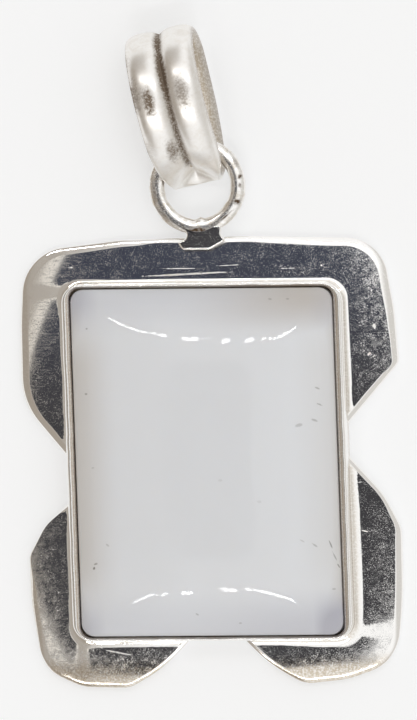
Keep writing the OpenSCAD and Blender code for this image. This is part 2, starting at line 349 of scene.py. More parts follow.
class Nodes:
    """Short calls for building a node tree."""

    def __init__(self, tree):
        self.tree = tree

    def add(self, kind, inputs=None, **settings):
        """A node with its settings, and with values or links on its inputs."""
        node = self.tree.nodes.new(kind)
        for key, value in settings.items():
            setattr(node, key, value)
        self.give(node, inputs or {})
        return node

    def give(self, node, inputs):
        """Puts values or links on a node's inputs."""
        for key, value in inputs.items():
            if isinstance(value, bpy.types.NodeSocket):
                self.tree.links.new(value, node.inputs[key])
            else:
                node.inputs[key].default_value = value

    def math(self, operation, *values, clamp=False):
        """The output of a Math node."""
        node = self.add(
            "ShaderNodeMath", dict(enumerate(values)), operation=operation, use_clamp=clamp)
        return node.outputs[0]

    def times(self, first, *rest):
        """The product of several values."""
        for value in rest:
            first = self.math("MULTIPLY", first, value)
        return first

    def vector(self, operation, *values):
        """The output of a Vector Math node."""
        node = self.add("ShaderNodeVectorMath", dict(enumerate(values)), operation=operation)
        return node.outputs["Value" if operation == "LENGTH" else "Vector"]

    def ramp(self, value, low, high, to_low=0.0, to_high=1.0):
        """A smooth map of a value from one range to another."""
        node = self.add(
            "ShaderNodeMapRange",
            {"Value": value, "From Min": low, "From Max": high, "To Min": to_low, "To Max": to_high},
            interpolation_type="SMOOTHSTEP")
        return node.outputs["Result"]

    def mix(self, amount, first, second):
        """The colour between two colours."""
        node = self.add("ShaderNodeMix", {"Factor": amount}, data_type="RGBA")
        ends = [socket for socket in node.inputs if socket.type == "RGBA"]
        for socket, value in zip(ends, (first, second)):
            if isinstance(value, bpy.types.NodeSocket):
                self.tree.links.new(value, socket)
            else:
                socket.default_value = (*value[:3], 1)
        return next(socket for socket in node.outputs if socket.type == "RGBA")

    def noise(self, place, scale, detail=2.0, rough=0.5, warp=0.0):
        """The value of a noise texture."""
        node = self.add(
            "ShaderNodeTexNoise",
            {"Vector": place, "Scale": scale, "Detail": detail, "Roughness": rough,
             "Distortion": warp})
        return node.outputs["Fac"]

    def millimetres(self):
        """The place on the piece in millimetres."""
        place = self.add("ShaderNodeTexCoord").outputs["Object"]
        return self.vector("MULTIPLY", place, (1 / MM, 1 / MM, 1 / MM))


def new_material(name):
    """A material with a Principled shader on its output, and the calls to build the rest."""
    material = bpy.data.materials.new(name)
    material.use_nodes = True
    nodes = Nodes(material.node_tree)
    material.node_tree.nodes.clear()
    shader = nodes.add("ShaderNodeBsdfPrincipled")
    nodes.add("ShaderNodeOutputMaterial", {"Surface": shader.outputs[0]})
    return material, nodes, shader


def silver_group():
    """The worn silver surface: flecks, scratches, mottling and tarnish, built once."""
    name = "Worn silver"
    if name in bpy.data.node_groups:
        return bpy.data.node_groups[name]
    tree = bpy.data.node_groups.new(name, "ShaderNodeTree")
    for label, kind, value in (
            ("Silver", "NodeSocketColor", (0.95, 0.94, 0.91, 1)),
            ("Tarnish", "NodeSocketColor", (0.1, 0.06, 0.04, 1)),
            ("Patina", "NodeSocketColor", (0.6, 0.55, 0.45, 1)),
            ("Tarnished", "NodeSocketFloat", 0.0),
            ("Patinated", "NodeSocketFloat", 0.0),
            ("Worn", "NodeSocketFloat", 0.0),
            ("Polish", "NodeSocketFloat", 0.12),
            ("Flecks", "NodeSocketFloat", 0.5),
            ("Scratches", "NodeSocketFloat", 0.5),
            ("Mottling", "NodeSocketFloat", 0.3),
            ("Grain angle", "NodeSocketFloat", 0.0)):
        socket = tree.interface.new_socket(label, in_out="INPUT", socket_type=kind)
        socket.default_value = value
    for label, kind in (
            ("Color", "NodeSocketColor"), ("Roughness", "NodeSocketFloat"),
            ("Height", "NodeSocketFloat")):
        tree.interface.new_socket(label, in_out="OUTPUT", socket_type=kind)
    nodes = Nodes(tree)
    given = nodes.add("NodeGroupInput").outputs
    place = nodes.millimetres()

    # Bright flecks, fine scratches and haze
    fine = nodes.noise(place, 14.0, 2, 0.65)
    haze = nodes.ramp(nodes.noise(place, 2.4, 4, 0.65, 0.3), 0.38, 0.7)
    coarse = nodes.noise(place, 0.9, 3, 0.6, 0.4)
    dense = nodes.math("MULTIPLY_ADD", coarse, 0.3, nodes.times(given["Worn"], 0.16))
    fleck = nodes.ramp(nodes.math("ADD", fine, dense), 0.70, 0.87)
    spot = nodes.ramp(nodes.noise(place, 8.0, 1, 0.5), 0.69, 0.77)
    fleck = nodes.times(nodes.math("MAXIMUM", fleck, spot), given["Flecks"])
    turned = nodes.add("ShaderNodeVectorRotate", {"Vector": place, "Angle": given["Grain angle"]})
    grain = nodes.vector("MULTIPLY", turned.outputs[0], (0.7, 11, 1))
    line = nodes.ramp(nodes.noise(grain, 1.6, 3, 0.6), 0.45, 0.85)
    wear = nodes.math("MAXIMUM", fleck, nodes.times(line, given["Scratches"]))

    # Tarnish, which on the bail also paints dark reflection, over patina over clean metal
    patch = nodes.ramp(nodes.noise(place, 1.7, 5, 0.62, 0.6), 0.42, 0.68)
    mottle = nodes.times(patch, given["Mottling"])
    speckle = nodes.ramp(nodes.noise(place, 7.5, 2, 0.5), 0.3, 0.62)
    tarnished = nodes.math(
        "MULTIPLY", given["Tarnished"], nodes.math("MULTIPLY_ADD", speckle, 0.6, 0.65), clamp=True)
    patinated = nodes.math(
        "MULTIPLY_ADD", given["Patinated"], nodes.math("MULTIPLY_ADD", speckle, 0.6, 0.4), mottle,
        clamp=True)
    tint = nodes.mix(patinated, given["Silver"], given["Patina"])
    tint = nodes.mix(tarnished, tint, given["Tarnish"])

    # How rough each effect makes the metal, and how far it stands out or is cut in
    hazy = nodes.math("MULTIPLY_ADD", given["Worn"], 0.36, 0.008)
    rough = given["Polish"]
    for effect, amount in ((wear, 0.3), (haze, hazy), (patinated, 0.05), (tarnished, 0.3)):
        rough = nodes.math("MULTIPLY_ADD", effect, amount, rough)
    rough = nodes.math("MINIMUM", rough, 1.0)

    height = nodes.times(nodes.noise(place, 0.45, 2, 0.5), 0.8)
    for effect, amount in ((fine, 0.012), (wear, -0.02)):
        height = nodes.math("MULTIPLY_ADD", effect, amount, height)
    nodes.add("NodeGroupOutput", {"Color": tint, "Roughness": rough, "Height": height})
    return tree


def silver(name, look, polish, flecks, scratches, mottling, grain=0.0, waves=1.0, tarnish=None):
    """A silver finish with its own polish and wear.

    grain is the direction of its scratches in degrees, and waves how strongly it is dented. The
    look's flecks of 0.5 leave the finish its own number of flecks.
    """
    material, nodes, shader = new_material(name)
    group = nodes.add("ShaderNodeGroup", {
        "Silver": (*look.clean, 1), "Tarnish": (*(tarnish or look.tarnish), 1),
        "Patina": (*look.patina, 1), "Polish": polish, "Flecks": flecks * 2 * look.flecks,
        "Scratches": scratches, "Mottling": mottling, "Grain angle": math.radians(grain),
    }, node_tree=silver_group())
    for label, mark in (("Tarnished", "tarnish"), ("Patinated", "patina"), ("Worn", "worn")):
        value = nodes.add("ShaderNodeAttribute", attribute_name=mark).outputs["Fac"]
        nodes.give(group, {label: value})
    bump = nodes.add("ShaderNodeBump", {
        "Height": group.outputs["Height"], "Strength": 1.0, "Distance": 0.02 * waves * MM})
    nodes.give(shader, {
        "Base Color": group.outputs["Color"], "Roughness": group.outputs["Roughness"],
        "Normal": bump.outputs[0], "Metallic": 1.0})
    return material, nodes, group


# Where a mark ends, in half sizes from its middle, once the noise that roughens it is added
MARK_END = 1.6
# Depth of a mark in millimetres, so that it reaches through the whole pendant
MARK_DEPTH = 1000


def marked(nodes, place, marks, soft):
    """The strength of the strongest of several long marks, as a value from 0 to 1.

    Each mark is x, y, length, width, angle in degrees and strength, in millimetres.
    """
    wobble = nodes.noise(place, 4.0, 2, 0.6)
    strongest = 0.0
    for x, y, long, wide, angle, strength in marks:
        spot = nodes.add("ShaderNodeMapping", {
            "Vector": place, "Location": (x, y, 0), "Rotation": (0, 0, math.radians(angle)),
            "Scale": (long / 2, wide / 2, MARK_DEPTH)}, vector_type="TEXTURE")
        reach = nodes.math("ADD", nodes.vector("LENGTH", spot.outputs[0]), wobble)
        mark = nodes.ramp(reach, MARK_END - soft, MARK_END, strength, 0.0)
        strongest = nodes.math("MAXIMUM", strongest, mark)
    return strongest


def add_marks(nodes, group, marks, soft, label="Tarnished", factor=1):
    """Adds long marks to the tarnish or the wear that a silver finish reads; on the bail they also
    paint dark reflection.
    """
    strength = marked(nodes, nodes.millimetres(), marks, soft)
    before = group.inputs[label].links[0].from_socket
    nodes.give(group, {label: nodes.math("MULTIPLY_ADD", strength, factor, before)})


# Small flaws of the stone: x, y, length, width, angle in degrees, darkness
STONE_MARKS = (
    (-7.58, -6.70, 0.30, 0.16, 20, 0.55),
    (-7.71, -6.99, 0.26, 0.18, 70, 0.75),
    (-6.74, -5.43, 0.34, 0.14, -40, 0.25),
    (-7.99, 4.77, 0.22, 0.18, 0, 0.45),
    (-7.86, 9.17, 0.16, 0.14, 0, 0.45),
    (-7.63, -0.22, 0.24, 0.10, 10, 0.3),
    (7.65, 4.82, 0.42, 0.13, -25, 0.42),
    (7.76, 3.72, 0.44, 0.13, -25, 0.42),
    (7.40, 2.67, 0.50, 0.20, -20, 0.35),
    (6.38, 2.36, 0.60, 0.26, 15, 0.28),
    (7.27, -5.75, 0.50, 0.14, -35, 0.35),
    (6.44, -5.43, 0.40, 0.12, -30, 0.22),
    (2.10, -10.89, 0.28, 0.14, 0, 0.3),
    (-0.78, -10.23, 0.26, 0.12, -30, 0.35),
    (4.55, 10.89, 0.30, 0.16, -20, 0.3),
    (5.74, 10.87, 0.24, 0.14, 0, 0.3),
    (8.29, -5.71, 0.62, 0.11, -68, 0.62),
    (8.54, -6.53, 0.80, 0.10, -66, 0.45),
    (8.78, -7.18, 0.34, 0.10, -60, 0.6),
    (8.44, -8.73, 0.30, 0.14, 0, 0.3),
    (1.04, -1.23, 0.30, 0.2, 0, 0.12),
    (3.64, -2.73, 0.34, 0.22, 0, 0.12),
)
CLOUD_GREY = (0.74, 0.74, 0.74)
FLAW_BROWN = (0.16, 0.15, 0.13)


def stone_material(sizes):
    """The milky cabochon: cool corners, warm sides of painted shade, cloudy body and small pits."""
    material, nodes, shader = new_material("Milky stone")
    place = nodes.millimetres()
    parts = nodes.add("ShaderNodeSeparateXYZ", {0: place}).outputs
    half_x, half_y = halves(sizes)
    across = nodes.math("ABSOLUTE", parts["X"])
    along = nodes.math("ABSOLUTE", parts["Y"])
    side = nodes.ramp(across, half_x * 0.62, half_x)
    end = nodes.ramp(along, half_y * 0.70, half_y * 0.97)
    upper = nodes.ramp(parts["Y"], half_y * 0.68, half_y * 0.95)
    upper_right = nodes.times(upper, nodes.ramp(parts["X"], -2.0, 7.0))

    # Painted shade: warmer and darker along the sides, less so on the right, and in the upper right
    # corner
    middle = nodes.ramp(along, half_y * 0.55, half_y * 0.9, 1, 0.1)
    leftward = nodes.ramp(parts["X"], 0.0, 5.0, 1, 0.5)
    warm = nodes.times(side, middle, leftward)
    for edge in (
            nodes.times(upper_right, 1.4),
            nodes.ramp(across, half_x * 0.84, half_x, 0, 0.8)):
        warm = nodes.math("MAXIMUM", warm, edge)
    tint = nodes.mix(nodes.times(warm, 0.62), sizes.milky, sizes.side_shade)

    # Cool at the ends and in the other corners, most so on the right
    cool = nodes.math("MAXIMUM", nodes.times(side, end), nodes.times(end, 0.35))
    elsewhere = nodes.math("MULTIPLY_ADD", upper_right, -0.7, 1.0)
    rightward = nodes.ramp(parts["X"], -2.0, 7.0, 1, 1.8)
    cool = nodes.times(cool, elsewhere, rightward)
    tint = nodes.mix(nodes.times(cool, 0.85), tint, sizes.lavender)

    cloud = nodes.ramp(nodes.noise(place, 0.35, 3, 0.5, 0.3), 0.3, 0.7)
    tint = nodes.mix(nodes.times(cloud, 0.06), tint, CLOUD_GREY)
    flaws = marked(nodes, place, STONE_MARKS, 0.55)
    bump = nodes.add(
        "ShaderNodeBump", {"Height": flaws, "Strength": 0.4, "Distance": 0.02 * MM}, invert=True)
    nodes.give(shader, {
        "Base Color": nodes.mix(flaws, tint, FLAW_BROWN), "Normal": bump.outputs[0],
        "Roughness": 0.02, "IOR": 1.54, "Specular IOR Level": 0.3, "Subsurface Weight": 0.6,
        "Subsurface Radius": (1.0, 0.95, 0.9), "Subsurface Scale": 1.2 * MM})
    return material


# The plate and the cup

def plate_corners(sizes):
    """Corners of the plate's outline, anticlockwise from the right notch: x, y, radius."""
    right, left, top, bottom = (v / MM for v in (sizes.right, sizes.left, sizes.top, sizes.bottom))
    return (
        (9.42, 2.28, 0),
        (right + 0.07, 6.42, 0.8),
        (right - 0.19, 10.07, 12),
        (right - 1, top - 0.36, 2.9),
        (3, top, 30),
        (-5.56, top - 0.08, 12),
        (0.4 - left, top - 0.8, 3.2),
        (-left, 9.4, 20),
        (-left, 4.22, 5),
        (-9.46, 0.3, 0),
        (-9.42, -2.4, 0),
        (1.35 - left, -4.08, 3),
        (0.28 - left, -6.08, 1.2),
        (0.38 - left, -9.33, 12),
        (1.04 - left, 1.3 - bottom, 2.8),
        (-8.9, 0.02 - bottom, 3),
        (-5.75, -bottom - 0.1, 1.5),
        (-3.47, 1.1 - bottom, 10.5),
        (-1.56, -12.02, 0),
        (2.15, -12.07, 0),
        (3.8, 1.2 - bottom, 12),
        (6.18, -bottom - 0.07, 2),
        (9.04, 0.18 - bottom, 6),
        (right - 0.56, 1.28 - bottom, 3.1),
        (right - 0.01, -9.63, 30),
        (right + 0.01, -4.73, 2.2),
        (right - 1.12, -2.42, 6),
        (9.46, 0.24, 0),
    )


# The rolled edge round the plate: direction in degrees from +X, width, share of the flat profile
EDGE_WIDTHS = (
    (0, 0.33, 0), (30, 0.45, 0), (42, 0.6, 0.2), (58, 0.6, 0.8), (71, 0.55, 1), (80, 0.44, 1),
    (90, 0.4, 1), (102, 0.31, 1), (109, 0.48, 1), (122, 0.52, 1), (133, 0.6, 0.7), (145, 0.6, 0.1),
    (160, 0.6, 0), (180, 0.5, 0), (192, 0.32, 0), (200, 0.12, 0), (208, 0.12, 0), (217, 0.4, 0.2),
    (230, 0.55, 0.8), (243, 0.5, 1), (252, 0.3, 1), (262, 0.25, 1), (285, 0.3, 1), (298, 0.42, 1),
    (312, 0.46, 0.7), (325, 0.5, 0.1), (335, 0.46, 0), (345, 0.3, 0), (360, 0.33, 0),
)
# Width and height of the solder fillet along the cup: direction in degrees from +X, width, height
FILLETS = (
    (0, 0.42, 0.07), (28, 0.32, 0.07), (50, 0.30, 0.05), (62, 0.26, 0.05), (118, 0.26, 0.05),
    (126, 0.30, 0.05), (131, 0.5, 0.045), (136, 0.25, 0.04), (150, 0.15, 0.03), (190, 0.15, 0.03),
    (215, 0.22, 0.04), (235, 0.45, 0.05), (245, 0.4, 0.05), (290, 0.35, 0.05), (302, 0.5, 0.07),
    (318, 0.72, 0.09), (340, 0.60, 0.09), (360, 0.42, 0.07),
)
# The rolled edge from its outer side: share of its width, and of its depth in the round profile and
# in the flat one
ROLL = (
    (0, 1, 1), (0.015, 0.78, 0.21), (0.05, 0.56, 0.15), (0.11, 0.41, 0.102), (0.19, 0.31, 0.070),
    (0.30, 0.24, 0.047), (0.42, 0.18, 0.031), (0.54, 0.128, 0.0175), (0.66, 0.083, 0.0095),
    (0.78, 0.045, 0.0045), (0.88, 0.019, 0.0016), (0.95, 0.0055, 0.0004), (0.985, 0.0008, 0),
    (1, 0, 0),
)
# Places of the plate's rows from its rolled edge to the cup, as shares of the way
PLATE_STEPS = (
    0.01, 0.04, 0.09, 0.18, 0.29, 0.4, 0.5, 0.59, 0.67, 0.74, 0.8, 0.85, 0.89, 0.93, 0.96, 0.98, 1)
# Bevel of the flat back: how far it is set in, and its height
BACK_INSET = 0.12
BACK_RISE = 0.17
# Least height of the plate's outer edge
EDGE_HEIGHT = 0.2
# How far the plate's rows run in under the cup's wall
UNDER_CUP = 0.1


def by_direction(table, point):
    """The values of a table whose first column is a direction, towards a point."""
    angle = math.degrees(math.atan2(point.y, point.x)) % 360
    for (low, *first), (high, *last) in zip(table, table[1:]):
        if angle <= high:
            return [a + (b - a) * smooth(low, high, angle) for a, b in zip(first, last)]
    return table[-1][1:]


def plate_height(sizes, x, y):
    """Height of the domed front at a place.

    It is a little flatter at the left lobes and droops at its lower edge, and a faint step runs out
    from three of the cup's corners. These break the reflections.
    """
    dome = sizes.dome / MM - (x ** 2 + y ** 2) / (2 * sizes.radius / MM)
    left = max(0, -x - 3)
    left_lobes = 0.0007 * left * max(0, -y - 3) + 0.0006 * left * max(0, y - 11.2)
    lower_edge = 0.03 * max(0, -y - (13.8 if x > 0 else 14.1)) ** 2
    upper_left_step = 0.02 * smooth(11.35, 12.05, y) * smooth(0, -9, x)
    lower_right_step = 0.016 * smooth(-11.25, -12.0, y) * smooth(3, 9, x)
    lower_left_step = 0.014 * smooth(-9.25, -8.45, x) * smooth(-3, -12, y) * smooth(-2, -8, x)
    return dome + left_lobes + lower_left_step - lower_edge - upper_left_step - lower_right_step


def plate_rows(sizes, cup):
    """Rows of the plate from the edge of its flat back over the rolled edge to the cup."""
    outline = divided(rounded_outline(plate_corners(sizes), 0.2), 0.4)
    rays = []
    for i, point in enumerate(outline):
        way = point.normalized()
        slant = 1 / max(0.45, outward(outline, i).dot(way))
        wide, flat = by_direction(EDGE_WIDTHS, point)
        wall = rectangle_reach(way, *halves(cup), cup.corner / MM)
        rays.append((way, point.length, slant, wide, flat, wall, by_direction(FILLETS, point)))

    rows = [
        [(*(way * (reach - BACK_INSET * slant)), 0) for way, reach, slant, *rest in rays],
        [(*(way * reach), BACK_RISE) for way, reach, *rest in rays]]
    for across, round_down, flat_down in ROLL:
        row = []
        for way, reach, slant, wide, flat, *rest in rays:
            x, y = way * (reach - wide * across * slant)
            top = plate_height(sizes, x, y)
            down = round_down + (flat_down - round_down) * flat
            row.append((x, y, top - down * min(sizes.edge / MM, top - EDGE_HEIGHT)))
        rows.append(row)
    for step in PLATE_STEPS:
        row = []
        for way, reach, slant, wide, flat, wall, (fillet, rise) in rays:
            start = reach - wide * slant
            end = min(wall - UNDER_CUP, start - 0.05)
            at = start + (end - start) * step
            x, y = way * at
            rest = max(0, 1 - max(0, at - wall) / fillet) ** 2
            row.append((x, y, plate_height(sizes, x, y) + rise * rest))
        rows.append(row)
    return rows


# Bright scratches on the plate: x, y, length, width, angle in degrees, strength
PLATE_MARKS = (
    (-1.0, 12.72, 6.2, 0.13, 1.5, 1.0), (-2.4, 12.66, 2.6, 0.10, 1.0, 1.0),
    (-1.6, 13.10, 2.6, 0.08, -1.0, 0.6), (1.6, 13.24, 1.8, 0.06, 2.0, 0.4),
    (11.0, 7.05, 0.30, 0.16, 40, 1.0), (11.4, 8.9, 0.22, 0.4, 10, 0.5),
    (10.2, -1.6, 0.28, 0.08, 10, 0.5), (10.45, -4.9, 0.42, 0.10, -15, 0.9),
    (-8.0, -12.15, 1.4, 0.10, -32, 0.8), (-6.5, -12.75, 1.9, 0.10, -12, 0.9),
    (5.6, 12.95, 1.0, 0.06, 0, 0.5),
    (-9.1, 13.35, 0.5, 0.12, 0, 0.4), (7.9, 13.1, 0.14, 0.12, 0, 0.9),
)


def plate_patina(x, y):
    """How far the plate has yellowed: most on the lower lobes' outer bands."""
    low = smooth(-12.9, -14.1, y) * 0.9
    left = smooth(-11.3, -12.3, x) * (0.2 + 0.35 * smooth(-4, -10, y))
    return min(1, max(low, left))


def plate_wear(x, y):
    """How far the plate's polish is dulled: most on the upper right and the lower lobes."""
    right = 0.27 * smooth(8.5, 11.5, x) * smooth(1.5, 7, y)
    top = 0.1 * smooth(-1, 5, x) * smooth(11, 12, y)
    low = 0.15 * smooth(-2.0, -5.0, y) * max(smooth(-9.2, -10.8, x), smooth(9.8, 11.8, x))
    foot = (0.1 if x > 0 else 0.3) * smooth(-12.0, -13.2, y)
    return min(1, max(right, top, low, foot))


def plate_marks(sizes, rows):
    """The patina and wear of every point of the plate. The solder fillet is yellowed too."""
    patina, worn = [], []
    for x, y, z in (point for row in rows for point in row):
        fillet = 0.5 * smooth(0.0, 0.03, z - plate_height(sizes, x, y))
        patina.append(max(plate_patina(x, y), fillet))
        worn.append(plate_wear(x, y))
    return {"patina": patina, "worn": worn}


class PENDANT_OT_plate(Operator):
    """Build the domed back plate with its four corner lobes"""

    bl_idname = "pendant.plate"
    bl_label = "Back Plate"

    def execute(self, context):
        scene = context.scene
        sizes = scene.pendant_plate
        rows = plate_rows(sizes, scene.pendant_cup)
        piece = skinned("back_plate", rows, marks=plate_marks(sizes, rows), sharp=50)
        finish, nodes, group = silver(
            "Plate silver", scene.pendant_silver, polish=0.02, flecks=0.75, scratches=0.28,
            mottling=0.0, waves=0.03)
        add_marks(nodes, group, PLATE_MARKS, 0.5, "Worn", 3)
        place(piece, "setting", "setting_silver", finish)
        return {"FINISHED"}


def cup_profile(cup, plate):
    """Rows of the cup's wall from its foot over the lip: height, inset in x and y, tarnish."""
    lip, wall, floor = cup.lip / MM, cup.wall / MM, plate.dome / MM - 0.2
    return (
        (0.03, 0.04, 0.04, 0), (0.10, 0.0, 0.0, 0), (0.8, 0.0, 0.0, 0.3), (1.4, 0.0, 0.0, 0.4),
        (2.0, 0.01, 0.01, 0.1), (lip - 0.55, 0.02, 0.02, 0), (lip - 0.30, 0.05, 0.04, 0),
        (lip - 0.17, 0.08, 0.06, 0), (lip - 0.08, 0.12, 0.08, 0), (lip - 0.02, 0.19, 0.11, 0),
        (lip, 0.26, 0.14, 0), (lip - 0.01, 0.34, 0.17, 0), (lip - 0.035, 0.385, 0.19, 0.3),
        (lip - 0.06, 0.42, 0.20, 0.9), (lip - 0.08, 0.47, 0.22, 0.3),
        (lip - 0.12, 0.53, 0.24, 0.2), (lip - 0.19, 0.59, 0.29, 0.45),
        (lip - 0.26, 0.61, 0.32, 0.7), (lip - 0.34, 0.60, 0.32, 0.9),
        (lip - 0.75, wall + 0.01, wall, 1), (floor, wall, wall, 1),
        (floor, wall + 0.5, wall + 0.5, 1),
    )


# Unevenness of the cup's lip, sideways and in height: waves round the cup, seed, depth
LIP_PUSHES = ((9, 0.3, 0.035), (31, 4.1, 0.014))
LIP_RISE = (13, 9.0, 0.02)
# Colour of the thin tarnish round the cup
CUP_TARNISH = (0.56, 0.46, 0.35)


def cup_rows(cup, plate):
    """Rows of the cup's wall, and the tarnish of every point."""
    (half_x, half_y), corner = halves(cup), cup.corner / MM
    ways = rectangle_ways(half_x, half_y, corner, 0.12, 0.3)
    rows, dark = [], []
    for z, in_x, in_y, tarnish in cup_profile(cup, plate):
        near_lip = smooth(cup.lip / MM - 0.45, cup.lip / MM - 0.05, z)
        row = []
        for way in ways:
            reach = rectangle_reach(way, half_x - in_x, half_y - in_y, max(0.5, corner - in_x))
            reach += sum(uneven(way, *push) for push in LIP_PUSHES) * near_lip
            rise = uneven(way, *LIP_RISE) - 0.01
            row.append((*(way * reach), z + rise * near_lip))
            dark.append(tarnish)
        rows.append(row)
    return rows, dark


class PENDANT_OT_cup(Operator):
    """Build the bezel cup that holds the stone"""

    bl_idname = "pendant.cup"
    bl_label = "Bezel Cup"

    def execute(self, context):
        scene = context.scene
        rows, dark = cup_rows(scene.pendant_cup, scene.pendant_plate)
        piece = skinned("bezel_cup", rows, marks={"tarnish": dark}, sharp=60)
        finish = silver(
            "Cup silver", scene.pendant_silver, polish=0.16, flecks=0.3, scratches=0.35,
            mottling=0.06, waves=2, tarnish=CUP_TARNISH)[0]
        place(piece, "setting", "setting_silver", finish)
        return {"FINISHED"}


# The stone

# Levels of the stone from its base to its crown: share of its height, inset in x, inset in y,
# radius of the corner, share of the oval form, power of the oval
STONE_LEVELS = (
    (0, 0.40, 0.36, 0.8, 0, 10),
    (0.05, 0.16, 0.14, 0.9, 0, 10),
    (0.16, 0, 0, 1.05, 0, 10),
    (0.27, 0.06, 0.01, 1.05, 0, 10),
    (0.35, 0.18, 0.02, 1.0, 0, 10),
    (0.42, 0.22, 0.03, 0.9, 0, 10),
    (0.486, 0.29, 0.07, 0.9, 0.05, 10),
    (0.55, 0.63, 0.40, 1.2, 0.3, 9),
    (0.62, 1.05, 0.80, 1.6, 0.55, 7),
    (0.70, 1.56, 1.32, 2.0, 0.8, 6),
    (0.83, 2.82, 2.64, 2.8, 1, 4.4),
    (0.915, 4.25, 4.39, 3.4, 1, 3.4),
    (0.968, 5.90, 6.79, 2.8, 1, 2.7),
    (0.992, 7.70, 9.58, 1.2, 1, 2.2),
    (1.0, 8.90, 11.50, 0.1, 1, 2),
)
# Rows of the mesh from one level to the next
STONE_STEPS = 4
GIRDLE_CORNER = 0.8


def stone_rows(sizes):
    """Rows of the cabochon, whose form goes from a rounded rectangle over to an oval."""
    half_x, half_y = halves(sizes)
    ways = rectangle_ways(half_x, half_y, GIRDLE_CORNER, 0.1, 0.25)
    rows = []
    for step in range((len(STONE_LEVELS) - 1) * STONE_STEPS + 1):
        height, in_x, in_y, corner, oval, power = table_row(STONE_LEVELS, step / STONE_STEPS, False)
        ax, ay = max(0.05, half_x - max(0, in_x)), max(0.05, half_y - max(0, in_y))
        corner = min(max(corner, 0.02), ax * 0.98, ay * 0.98)
        z = STONE_LOW.z / MM + min(1, max(0, height)) * sizes.thickness / MM
        row = []
        for way in ways:
            straight = rectangle_reach(way, ax, ay, corner)
            rounded = oval_reach(way, ax, ay, max(2, power))
            reach = straight + (rounded - straight) * min(1, max(0, oval))
            row.append((*(way * reach), z))
        rows.append(row)
    return rows


class PENDANT_OT_stone(Operator):
    """Build the rectangular cabochon"""

    bl_idname = "pendant.stone"
    bl_label = "Stone"

    def execute(self, context):
        sizes = context.scene.pendant_stone
        piece = skinned("cabochon", stone_rows(sizes), sharp=60)
        place(piece, "stone", "milky_stone", stone_material(sizes))
        return {"FINISHED"}


# The loop ring and its foot

# Section of the flattened wire: place across it and height, as shares of its width and thickness
WIRE_SECTION = (
    (0.0, 0.30), (0.02, 0.18), (0.10, 0.06), (0.24, 0.0), (0.5, 0.0), (0.76, 0.0), (0.90, 0.06),
    (0.98, 0.18), (1.0, 0.32), (1.0, 0.68), (0.985, 0.80), (0.93, 0.91), (0.83, 0.965),
    (0.68, 0.99), (0.5, 1.0), (0.32, 0.99), (0.17, 0.965), (0.07, 0.91), (0.015, 0.80), (0.0, 0.68),
)
# Sections round the ring
RING_PLACES = 120
# Blob of solder inside the ring at its foot: direction in degrees, half width in degrees, height
NUB = (274, 4.5, 0.17)
# Stretch of the ring that is soldered to the foot: direction and half width in degrees
SOLDERED = (270, 36)
# The wire's unevenness: waves round the ring, depth
WIRE_WAVES = (2.5, 0.03)
# Shape of the wire's top, as shares of its thickness: how far it falls outwards on the right, how
# much of its outer rounding is filled at the foot, and how far it dips inwards there
RIGHT_FALL = 0.12
FOOT_FILL = 0.85
FOOT_DIP = 0.06
# Dark spots on the ring: x, y, length, width, angle in degrees, strength
RING_MARKS = (
    (2.60, 19.20, 0.45, 0.35, 60, 0.9), (2.60, 18.60, 0.45, 0.30, 90, 0.8),
    (2.37, 17.50, 0.65, 0.50, 20, 0.95), (1.60, 16.55, 1.5, 0.20, 40, 0.8),
    (-3.20, 18.40, 1.9, 0.32, 95, 0.6), (-2.60, 16.75, 1.6, 0.36, 135, 0.6),
    (2.30, 20.15, 1.0, 0.40, 120, 0.5), (-0.35, 15.66, 2.8, 0.50, 0, 0.9),
)
# Corners of the foot, anticlockwise: x from the ring's centre, y, radius
FOOT_CORNERS = (
    (-1.10, 14.35, 0.3), (0.75, 14.33, 0.6), (1.86, 14.92, 0.15), (1.55, 15.35, 0.3),
    (1.62, 15.95, 0), (-1.45, 16.1, 0), (-0.76, 15.45, 0.3), (-0.9, 15.08, 0.2), (-1.42, 14.86, 0.12),
)
# Levels of the foot: height below its top, inset
FOOT_LEVELS = (
    (1.4, 0.0), (0.20, 0.0), (0.10, 0.015), (0.04, 0.045), (0.012, 0.075), (0.0, 0.10), (0.0, 0.13),
)


def inset_outline(outline, inset):
    """The outline moved inwards by a distance."""
    return [point - outward(outline, i) * inset for i, point in enumerate(outline)]


def hump(angle, middle, half_width):
    """A soft hump of height 1 round a direction."""
    return math.exp(-((angle - middle) / half_width) ** 2)


def ring_rows(sizes):
    """Sections of the loop ring. Its top falls outwards on the right and is squarer at its foot."""
    across, along, inner, wire, low, thick = (
        value / MM for value in (
            sizes.across, sizes.along, sizes.inner, sizes.wire, sizes.low, sizes.thick))
    nub_at, nub_width, nub_height = NUB
    waves, depth = WIRE_WAVES
    rows = []
    for k in range(RING_PLACES):
        turn = math.tau * k / RING_PLACES
        way = Vector((math.cos(turn), math.sin(turn)))
        nub = nub_height * hump(math.degrees(turn), nub_at, nub_width)
        soldered = hump(math.degrees(turn), *SOLDERED)
        fall = RIGHT_FALL * smooth(0.3, 0.75, way.x)
        row = []
        for over, up in WIRE_SECTION:
            reach = inner + wire * over + uneven(way, waves, over, depth)
            if over < 0.5:
                reach -= nub * (1 - 2 * over)
            if up > 0.9 and over > 0.5:
                up = 1 - (1 - up) * (1 - FOOT_FILL * soldered)
            if up > 0.6:
                up -= FOOT_DIP * soldered * max(0, 1 - 2 * over) + fall * max(0, over - 0.35)
            row.append((across + way.x * reach, along + way.y * reach, low + thick * up))
        rows.append(row)
    return rows


def foot_rows(sizes):
    """Rows of the ring's foot, a flat tab with a bevelled edge."""
    outline = divided(rounded_outline(FOOT_CORNERS, 0.08), 0.15)
    across, top = sizes.across / MM, sizes.foot_top / MM
    return [
        [(point.x + across, point.y, top - down) for point in inset_outline(outline, inset)]
        for down, inset in FOOT_LEVELS]


